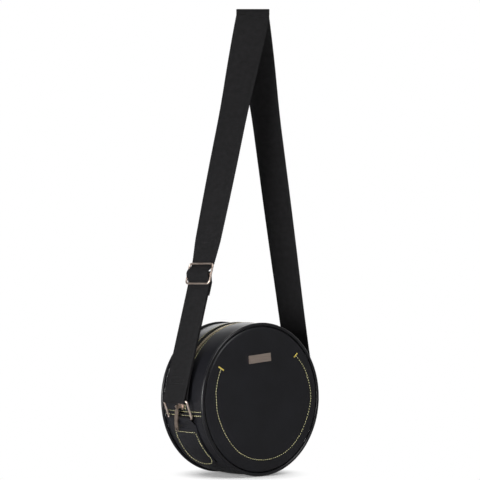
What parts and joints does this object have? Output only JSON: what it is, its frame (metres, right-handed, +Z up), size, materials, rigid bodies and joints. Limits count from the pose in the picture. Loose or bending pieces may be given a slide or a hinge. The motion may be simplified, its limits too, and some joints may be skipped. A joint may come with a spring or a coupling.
{
  "type": "circle bag",
  "caption": "Round drum-shaped shoulder bag with a zipped gusset, ring tabs and an adjustable webbing strap.",
  "frame": {"origin": "inside of the strap's top fold, where a hook or a shoulder bears", "axes": "+X to the right seen from the front, +Y towards the back panel, +Z up"},
  "size_m": [0.1968, 0.0813, 0.5546],
  "materials": {
    "leather_black": "matt, fine grain",
    "board_grey": "matt",
    "lining_black": "plain weave",
    "tape_black": "twill",
    "zip_metal": "satin light gold",
    "webbing_black": "ribbed webbing",
    "light_gold": "polished light gold",
    "pull_metal": "satin"
  },
  "bodies": {
    "strap": {"strap_webbing": "webbing_black", "strap_return_run": "webbing_black"},
    "adjuster": {"adjuster_frame": "light_gold", "adjuster_bar": "light_gold"},
    "left_ring": {"left_ring": "light_gold"},
    "bag": {"front_panel": "leather_black", "back_panel": "leather_black", "front_piping": "leather_black", "back_piping": "leather_black", "zip_gusset_front": "leather_black", "zip_gusset_back": "leather_black", "lower_gusset": "leather_black", "left_tab": "leather_black", "right_tab": "leather_black", "front_board": "board_grey", "back_board": "board_grey", "front_lining": "lining_black", "back_lining": "lining_black", "inner_pocket": "lining_black", "lower_lining": "lining_black", "zip_lining_front": "lining_black", "zip_lining_back": "lining_black", "zip_tape_front": "tape_black", "zip_tape_back": "tape_black", "zip_teeth_front": "zip_metal", "zip_teeth_back": "zip_metal", "zip_end_stops": "zip_metal", "badge_plate": "light_gold"},
    "right_ring": {"right_ring": "light_gold"},
    "zip_slider": {"zip_slider": "light_gold"},
    "zip_pull": {"zip_pull": "pull_metal"}
  },
  "joints": [
    {"name": "left_ring_swing", "type": "hinge", "parent": "strap", "child": "left_ring", "pos_m": [-0.11739, 0, -0.46283], "axis": [0, -1, 0], "range_deg": [-8, 4], "deforming": ["strap_webbing", "strap_return_run"]},
    {"name": "bag_swing", "type": "hinge", "parent": "left_ring", "child": "bag", "pos_m": [-0.10925, 0, -0.48328], "axis": [0, -1, 0], "range_deg": [-4.15, 8.3]},
    {"name": "right_ring_swing", "type": "hinge", "parent": "bag", "child": "right_ring", "pos_m": [0.07396, 0, -0.46725], "axis": [0, -1, 0], "range_deg": [-8.09, 4.04]},
    {"name": "zip_travel", "type": "hinge", "parent": "bag", "child": "zip_slider", "pos_m": [-0.0187, 0, -0.4632], "axis": [0, 1, 0], "range_deg": [0, 165], "deforming": ["zip_teeth_front", "zip_teeth_back", "strap_webbing", "strap_return_run"]},
    {"name": "zip_pull_swing", "type": "hinge", "parent": "zip_slider", "child": "zip_pull", "pos_m": [-0.11348, 0, -0.46968], "axis": [0, -1, 0], "range_deg": [-90, 0]},
    {"name": "adjuster_slide", "type": "slide", "parent": "strap", "child": "adjuster", "axis": [0.2659, 0, 0.964], "range_m": [-0.09, 0.003], "deforming": ["strap_return_run", "strap_webbing"]}
  ],
  "couplings": [
    {"joint": "bag_swing", "follows": "left_ring_swing", "ratio": -1.038},
    {"joint": "right_ring_swing", "follows": "left_ring_swing", "ratio": 1.0107}
  ]
}
